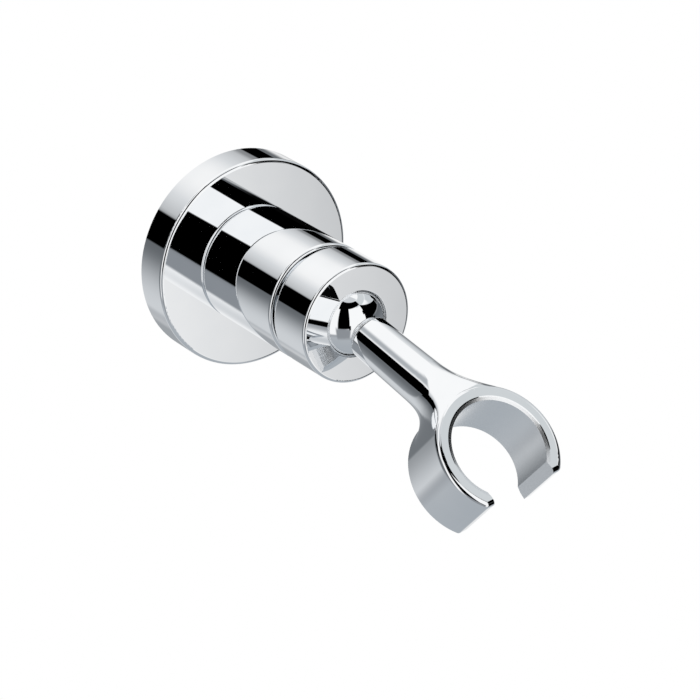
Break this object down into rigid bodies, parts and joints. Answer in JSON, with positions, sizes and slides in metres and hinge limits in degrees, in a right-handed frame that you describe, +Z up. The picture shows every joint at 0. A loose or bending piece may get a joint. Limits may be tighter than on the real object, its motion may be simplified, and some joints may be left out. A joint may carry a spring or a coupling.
{
  "type": "hand shower holder",
  "caption": "Wall holder for a hand shower: round flange and body with a ball joint that carries a short arm ending in an open clip for the handle.",
  "frame": {"origin": "centre of the wall face, on the body axis", "axes": "wall is the XZ plane, +Y into the wall, holder stands out along -Y, +Z up"},
  "size_m": [0.0536, 0.1099, 0.0623],
  "materials": {
    "chrome": "polished chrome plate on brass",
    "zinc_casting": "plain zinc casting",
    "spring_steel": "bare stainless spring steel",
    "acetal": "natural white moulding"
  },
  "bodies": {
    "base": {"wall_plate": "zinc_casting", "wall_flange": "chrome", "body": "chrome", "lock_screw": "spring_steel", "disc_spring_rear": "spring_steel", "disc_spring_front": "spring_steel", "thrust_washer": "spring_steel"},
    "cap": {"cap_nut": "chrome"},
    "seats": {"front_seat": "acetal", "rear_seat": "acetal"},
    "ball": {"ball_stud": "chrome"},
    "arm": {"arm": "chrome"}
  },
  "joints": [
    {"name": "cap_turn", "type": "hinge", "parent": "base", "child": "cap", "pos_m": [0, -0.047, 0], "axis": [0, -1, 0], "range_deg": [-90, 90]},
    {"name": "ball_spin", "type": "hinge", "parent": "base", "child": "seats", "pos_m": [0, -0.04955, 0], "axis": [0, -1, 0], "continuous": true},
    {"name": "ball_tilt", "type": "hinge", "parent": "seats", "child": "ball", "pos_m": [0, -0.04955, 0], "axis": [0.9006, 0, 0.4346], "range_deg": [-43.7, 8.2]},
    {"name": "arm_twist", "type": "hinge", "parent": "ball", "child": "arm", "pos_m": [0, -0.04955, 0], "axis": [0.1322, -0.9526, -0.274], "continuous": true}
  ]
}
